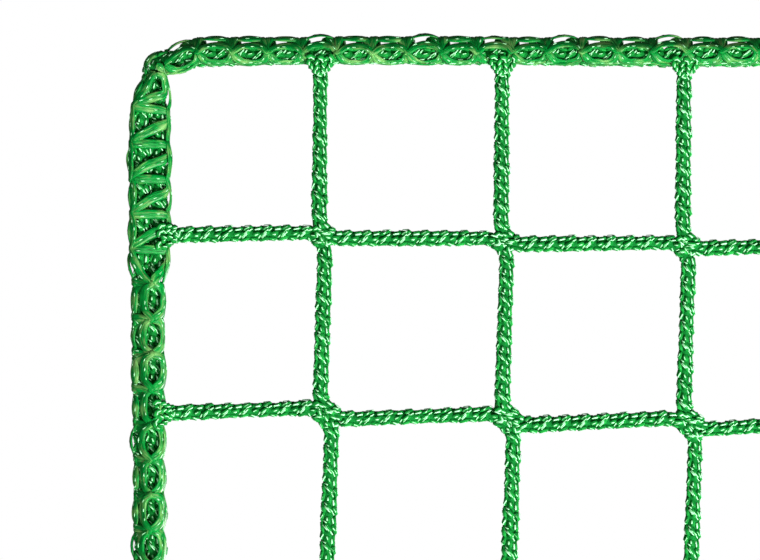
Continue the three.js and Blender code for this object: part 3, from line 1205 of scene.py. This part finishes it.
def stitched(name, points, rolls, spreads, kinds, values, node, bridges=()):
    """The piece that stands for a node: stitches along a path, made a plain mesh."""
    path = path_object(f"{name}_path", points, rolls, spreads, kinds, bridges)
    modifier = path.modifiers.new("stitches", "NODES")
    modifier.node_group = STITCHES
    sockets = {s.name: s.identifier for s in STITCHES.interface.items_tree if s.in_out == "INPUT"}
    for key, value in values.items():
        modifier[sockets[key]] = value
    depsgraph = bpy.context.evaluated_depsgraph_get()
    mesh = bpy.data.meshes.new_from_object(
        path.evaluated_get(depsgraph), preserve_all_data_layers=True, depsgraph=depsgraph
    )
    path.modifiers.remove(modifier)
    bpy.data.objects.remove(path)
    mesh.name = name
    piece = linked_object(name, mesh)
    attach(piece, "root")
    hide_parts(node)
    return piece


# Cords
VARIANTS = range(UNIT_VARIANTS)
KNIT_STITCHES = unit_collection(
    "knit stitches", [knit_unit("knit_unit", v, YARN_ROWS, FILAMENT_ROWS) for v in VARIANTS]
)
COVERED_STITCHES = unit_collection(
    "covered knit stitches",
    [knit_unit("covered_knit_unit", v, FRONT_YARN_ROWS, FRONT_FILAMENT_ROWS) for v in VARIANTS],
)
OVEREDGE_STITCHES = unit_collection(
    "overedge stitches",
    [overedge_unit(kind, v) for kind in range(len(STITCH_KINDS)) for v in VARIANTS],
)
BRIDGE = linked_object("bridge", bridge_unit())


def cord_values(stitches, seed):
    return {
        "Stitches": stitches,
        "Bridge": BRIDGE,
        "Pitch": 2 * STITCH * MM,
        "Unevenness": UNEVENNESS,
        "Seed": seed,
        "Core radius": CORE_SHARE * CORD_DEPTH / 2 * MM,
        "Core step": CORE_STEP * MM,
        "Yarn": KNIT_YARN,
        "Core": CORE_PAINTED_SHADE,
    }


def border_root(column, row):
    """Bridges where a cord leaves the border or reaches it, with their turns."""
    nearest = np.linalg.norm(ROUTE - (column_place(column), row_place(row)), axis=1).argmin()
    centre = ROUTE[nearest] + CENTRES[nearest] * OUTWARD[nearest]
    inwards, beside = -OUTWARD[nearest], OUTWARD[nearest][::-1]
    fan = np.array(ROLLED_ROOT)
    fan += FLATNESS[nearest] * (FLAT_ROOT - fan)
    bridges = []
    for along, depth, forward, lean, drop in fan:
        lean, drop = np.radians((lean, drop))
        heading = np.cos(lean) * inwards - np.sin(lean) * beside
        level = np.array([heading[0], 0, -heading[1]])
        run = np.cos(drop) * level - np.sin(drop) * FORWARD
        facing = np.sin(drop) * level + np.cos(drop) * FORWARD
        turn = Matrix((run, np.cross(facing, run), facing)).transposed().to_euler()
        bridges.append((spot(*(centre + depth * inwards + along * beside), forward), turn[:], 1))
    return bridges


def cord_bridges(column, row, across):
    """Bridges at the joints where a cord comes down and leaves to the right, and where it
    leaves the border or reaches it."""
    bridges = []
    for column, row, across in strand_places(column, row, across)[:-1]:
        on_side = column in (0, MESH_COLUMNS)
        on_end = row in (0, MESH_ROWS)
        if on_side != on_end:
            bridges += border_root(column, row)
        elif not on_side and not across:
            turn = (math.pi / 2, math.pi / 4, 0)
            bridges.append((spot(*joint_centre(column, row)), turn, joint_run(row) / BRIDGED_RUN))
    return bridges


def knitted_strand(name, column, row, across, seed):
    points, spread = strand_path(column, row, across)
    way = np.arange(len(points)) * PATH_STEP
    swing = sum(np.sin(way / length + turns * seed) * share for length, turns, share in WIDTH_SWINGS)
    stitched(
        f"knit_{name}",
        points,
        0 * way,
        spread + WIDTH_SWING_SHARE * swing,
        0 * way,
        cord_values(KNIT_STITCHES, seed),
        name,
        cord_bridges(column, row, across),
    )


for i in range(MESH_COLUMNS):
    knitted_strand(f"strand_from_top_{i + 1:02d}", i, 0, True, i)
for i in range(MESH_ROWS):
    knitted_strand(f"strand_from_left_{i + 1:02d}", 0, i, False, MESH_COLUMNS + i)


def closed(points):
    return np.concatenate([points, points[:1]])


CORD_LINE = closed(border_path(CORD_OUT, CORD_FORWARD))
stitched(
    "knit_border_cord",
    CORD_LINE,
    np.zeros(len(CORD_LINE)),
    closed(1 + FLAT_CORD_SPREAD * FLATNESS),
    np.zeros(len(CORD_LINE)),
    cord_values(COVERED_STITCHES, MESH_COLUMNS + MESH_ROWS),
    "border_cord",
)


# Overedge
def overedge_stretches():
    """Each side and corner of the border, as a name and its points' first and last."""
    turns = np.flatnonzero((UNTIL[:-1] > 0) & (UNTIL[1:] <= 0)) + 1
    starts = np.flatnonzero(np.diff(SINCE) < 0) + 1
    names = ("top", "left", "bottom", "right")
    corners = ("top_left", "bottom_left", "bottom_right", "top_right")
    begins = [0, *starts]
    ends = [*starts, len(SINCE)]
    stretches = []
    for name, corner, begin, turn, end in zip(names, corners, begins, turns, ends):
        stretches.append((f"overedge_{name}", begin, turn))
        stretches.append((f"overedge_corner_{corner}", turn, end))
    return stretches


def stitch_kinds(node, points, flatness):
    """Which kind of stitch lies at each point: by the border's lie at its ends."""
    if "corner" in node:
        return np.full(len(points), len(STITCH_KINDS) - 1)
    along = ways_along(points)
    count = max(1, round(along[-1] / OVEREDGE_STITCH))
    flat = np.interp(np.linspace(0, along[-1], count + 1), along, flatness) > 0.5
    kinds = 2 * flat[:-1] + flat[1:]
    return kinds[np.minimum((along / along[-1] * count).astype(int), count - 1)]


CENTRE_LINE = closed(border_path(0, 0))
for seed, (node, begin, end) in enumerate(overedge_stretches()):
    reach = slice(begin, end + 1)
    stitched(
        f"stitching_{node}",
        CENTRE_LINE[reach],
        -closed(ROLLS)[reach],
        closed(SPREADS)[reach],
        stitch_kinds(node, CENTRE_LINE[reach], closed(FLATNESS)[reach]),
        {
            "Stitches": OVEREDGE_STITCHES,
            "Bridge": BRIDGE,
            "Pitch": OVEREDGE_STITCH * MM,
            "Unevenness": OVEREDGE_UNEVENNESS,
            "Seed": seed,
            "Core radius": HIDDEN_CORE_RADIUS * MM,
            "Core step": HIDDEN_CORE_STEP * MM,
            "Yarn": BAND_YARN,
            "Core": CORE_PAINTED_SHADE,
        },
        node,
    )

for collection in (KNIT_STITCHES, COVERED_STITCHES, OVEREDGE_STITCHES):
    drop_collection(collection)
bpy.data.objects.remove(BRIDGE)


# Camera
def aimed(ob, place, target):
    offset = np.array(target) - np.array(place)
    flat = math.hypot(offset[0], offset[1])
    ob.location = place
    ob.rotation_euler = (math.pi / 2 + math.atan2(offset[2], flat), 0, math.atan2(-offset[0], offset[1]))


camera = linked_object("camera", bpy.data.cameras.new("camera"))
camera.data.lens = LENS
camera.data.sensor_width = SENSOR
camera.data.clip_start = 0.01
distance = PHOTO_WIDTH_PX / PX_PER_MM * LENS / SENSOR
target = (AIM[0] * MM, NET_PLANE * MM, AIM[1] * MM)
aimed(camera, (target[0], target[1] - distance * MM, target[2]), target)
bpy.context.scene.camera = camera


# Light: each lamp's place and target in metres, its size and its power in watts
LAMPS = {
    "key": ((0.65, -1.15, -0.75), (-0.2, 0, -0.15), 0.35, 46),
    "fill": ((-0.9, -1.6, -0.5), (-0.2, 0, -0.2), 0.8, 8),
    "rear": ((0.7, 1.2, -0.6), (-0.1, 0, -0.4), 0.4, 24),
}
for name, (place, target, size, power) in LAMPS.items():
    lamp = linked_object(name, bpy.data.lights.new(name, "AREA"))
    lamp.data.size = size
    lamp.data.energy = power
    aimed(lamp, place, target)

world = bpy.data.worlds.new("white studio")
bpy.context.scene.world = world
world.use_nodes = True
tree = world.node_tree
tree.nodes.clear()
ray = add_node(tree, "ShaderNodeLightPath")
seen = add_node(tree, "ShaderNodeBackground", {"Color": (1, 1, 1, 1), "Strength": 1.0})
lit = add_node(tree, "ShaderNodeBackground", {"Color": (1, 1, 1, 1), "Strength": 0.1})
mixed = add_node(tree, "ShaderNodeMixShader")
out = add_node(tree, "ShaderNodeOutputWorld")
link(tree, ray.outputs["Is Camera Ray"], mixed.inputs["Fac"])
link(tree, lit.outputs[0], mixed.inputs[1])
link(tree, seen.outputs[0], mixed.inputs[2])
link(tree, mixed.outputs[0], out.inputs["Surface"])

# Floor
FLOOR_DROP = 30
FLOOR_SIZE = 4000
low = cad_box[0][2] - FLOOR_DROP * MM
half = FLOOR_SIZE / 2 * MM
floor_mesh = bpy.data.meshes.new("floor")
floor_mesh.from_pydata(
    [(-half, -half, low), (half, -half, low), (half, half, low), (-half, half, low)], [], [(0, 1, 2, 3)]
)
floor = linked_object("floor", floor_mesh)
pale_floor, _ = surface(
    "pale floor",
    {
        "Base Color": (0.8, 0.8, 0.79, 1),
        "Roughness": 0.8,
        "Emission Color": (1, 1, 0.98, 1),
        "Emission Strength": 0.35,
    },
)
floor_mesh.materials.append(pale_floor)

bpy.context.scene.view_settings.view_transform = "Standard"

bpy.context.view_layer.update()
